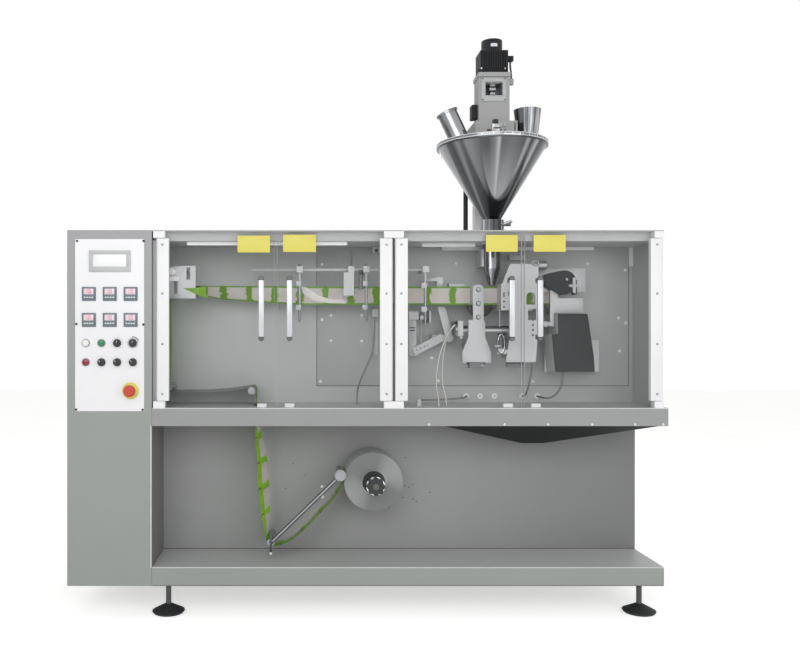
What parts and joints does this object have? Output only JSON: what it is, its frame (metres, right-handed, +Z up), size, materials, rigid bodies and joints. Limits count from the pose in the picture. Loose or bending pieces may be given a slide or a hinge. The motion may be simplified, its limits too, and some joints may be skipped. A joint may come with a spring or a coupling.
{
  "type": "horizontal film pouch packaging machine",
  "caption": "Horizontal form, fill and seal machine: grey cabinet on levelling feet, four clear doors, film reel and dancer, sealing stations and a roof hopper with auger drive.",
  "frame": {"origin": "middle of the whole outline in plan, at the underside of the levelling feet", "axes": "+Z up, the doors and the control panel face -Y, +X runs along the film to the discharge chute"},
  "size_m": [2.165, 0.731, 2.133],
  "materials": {
    "cabinet_paint": "satin",
    "light_paint": "satin",
    "white_aluminium": "satin",
    "brushed_steel": "satin",
    "polished_steel": "polished",
    "black_rubber": "matte",
    "black_plastic": "satin",
    "black_paint": "satin",
    "clear_sheet": "gloss",
    "red_plastic": "gloss",
    "film_plastic": "gloss",
    "hose_plastic": "satin"
  },
  "bodies": {
    "root": {"auger_motor": "black_paint", "back_wall": "cabinet_paint", "base_tray": "cabinet_paint", "chute_hose": "black_rubber", "collecting_pan": "black_paint", "control_cabinet": "cabinet_paint", "control_panel": "brushed_steel", "counter": "cabinet_paint", "counter_hose": "hose_plastic", "cover_panel": "cabinet_paint", "crank_linkage": "light_paint", "cutter_bracket": "light_paint", "cutter_cover": "black_paint", "discharge_chute": "black_rubber", "door_fittings": "white_aluminium", "drive_column": "light_paint", "filling_nozzle": "polished_steel", "film_lower_loop": "film_plastic", "film_upper_run": "film_plastic", "folded_film": "film_plastic", "grommets": "black_rubber", "guide_plate": "light_paint", "guide_rods": "brushed_steel", "hopper_cone": "polished_steel", "hopper_inlets": "polished_steel", "hopper_lid": "polished_steel", "jaw_hose_front": "hose_plastic", "jaw_hose_rear": "hose_plastic", "levelling_feet": "black_rubber", "motor_cable": "black_rubber", "panel_instruments": "black_plastic", "panel_switches": "black_plastic", "photo_sensor": "black_plastic", "rear_access_panels": "cabinet_paint", "rear_cabinet": "cabinet_paint", "roller_shafts": "brushed_steel", "roof_fittings": "light_paint", "roof_panel": "cabinet_paint", "seal_hose": "black_rubber", "sealing_jaw": "light_paint", "sealing_unit": "light_paint", "side_wall": "cabinet_paint", "stop_button_base": "black_plastic", "wall_hose": "hose_plastic"},
    "dancer": {"dancer_arm": "brushed_steel"},
    "dancer_wheel": {"dancer_roller": "brushed_steel"},
    "door_1": {"door_1_frame": "white_aluminium", "door_1_glass": "clear_sheet"},
    "door_2": {"door_2_frame": "white_aluminium", "door_2_glass": "clear_sheet"},
    "door_3": {"door_3_frame": "white_aluminium", "door_3_glass": "clear_sheet"},
    "door_4": {"door_4_frame": "white_aluminium", "door_4_glass": "clear_sheet"},
    "reel": {"film_roll": "film_plastic", "reel_hub": "black_plastic"},
    "idler_a": {"idler_roller_a": "brushed_steel"},
    "idler_b": {"idler_roller_b": "brushed_steel"},
    "idler_c": {"idler_roller_c": "brushed_steel"},
    "stop_button": {"stop_button_head": "red_plastic"}
  },
  "joints": [
    {"name": "door_1_hinge", "type": "hinge", "parent": "root", "child": "door_1", "pos_m": [-0.7525, -0.3175, 1.07], "axis": [0, 0, -1], "range_deg": [0, 100]},
    {"name": "door_2_hinge", "type": "hinge", "parent": "root", "child": "door_2", "pos_m": [0.081, -0.3175, 1.07], "axis": [0, 0, 1], "range_deg": [0, 85]},
    {"name": "door_3_hinge", "type": "hinge", "parent": "root", "child": "door_3", "pos_m": [0.1082, -0.3175, 1.07], "axis": [0, 0, -1], "range_deg": [0, 85]},
    {"name": "door_4_hinge", "type": "hinge", "parent": "root", "child": "door_4", "pos_m": [1.0555, -0.3175, 1.07], "axis": [0, 0, 1], "range_deg": [0, 100]},
    {"name": "reel_spin", "type": "hinge", "parent": "root", "child": "reel", "pos_m": [0.03, -0.1575, 0.47], "axis": [0, 1, 0], "continuous": true},
    {"name": "idler_a_spin", "type": "hinge", "parent": "root", "child": "idler_a", "pos_m": [-0.4235, -0.1575, 0.81], "axis": [0, 1, 0], "continuous": true},
    {"name": "idler_b_spin", "type": "hinge", "parent": "root", "child": "idler_b", "pos_m": [-0.734, -0.1575, 0.82], "axis": [0, 1, 0], "continuous": true},
    {"name": "idler_c_spin", "type": "hinge", "parent": "root", "child": "idler_c", "pos_m": [-0.734, -0.1575, 1.245], "axis": [0, 1, 0], "continuous": true},
    {"name": "dancer_swing", "type": "hinge", "parent": "root", "child": "dancer", "pos_m": [-0.094, -0.2375, 0.496], "axis": [0, 1, 0], "range_deg": [0, 25], "deforming": ["film_lower_loop"]},
    {"name": "dancer_roller_spin", "type": "hinge", "parent": "dancer", "child": "dancer_wheel", "pos_m": [-0.352, -0.1575, 0.246], "axis": [0, 1, 0], "continuous": true},
    {"name": "stop_button_press", "type": "slide", "parent": "root", "child": "stop_button", "axis": [0, 1, 0], "range_m": [0, 0.006], "stiffness_N_per_m": 800}
  ]
}
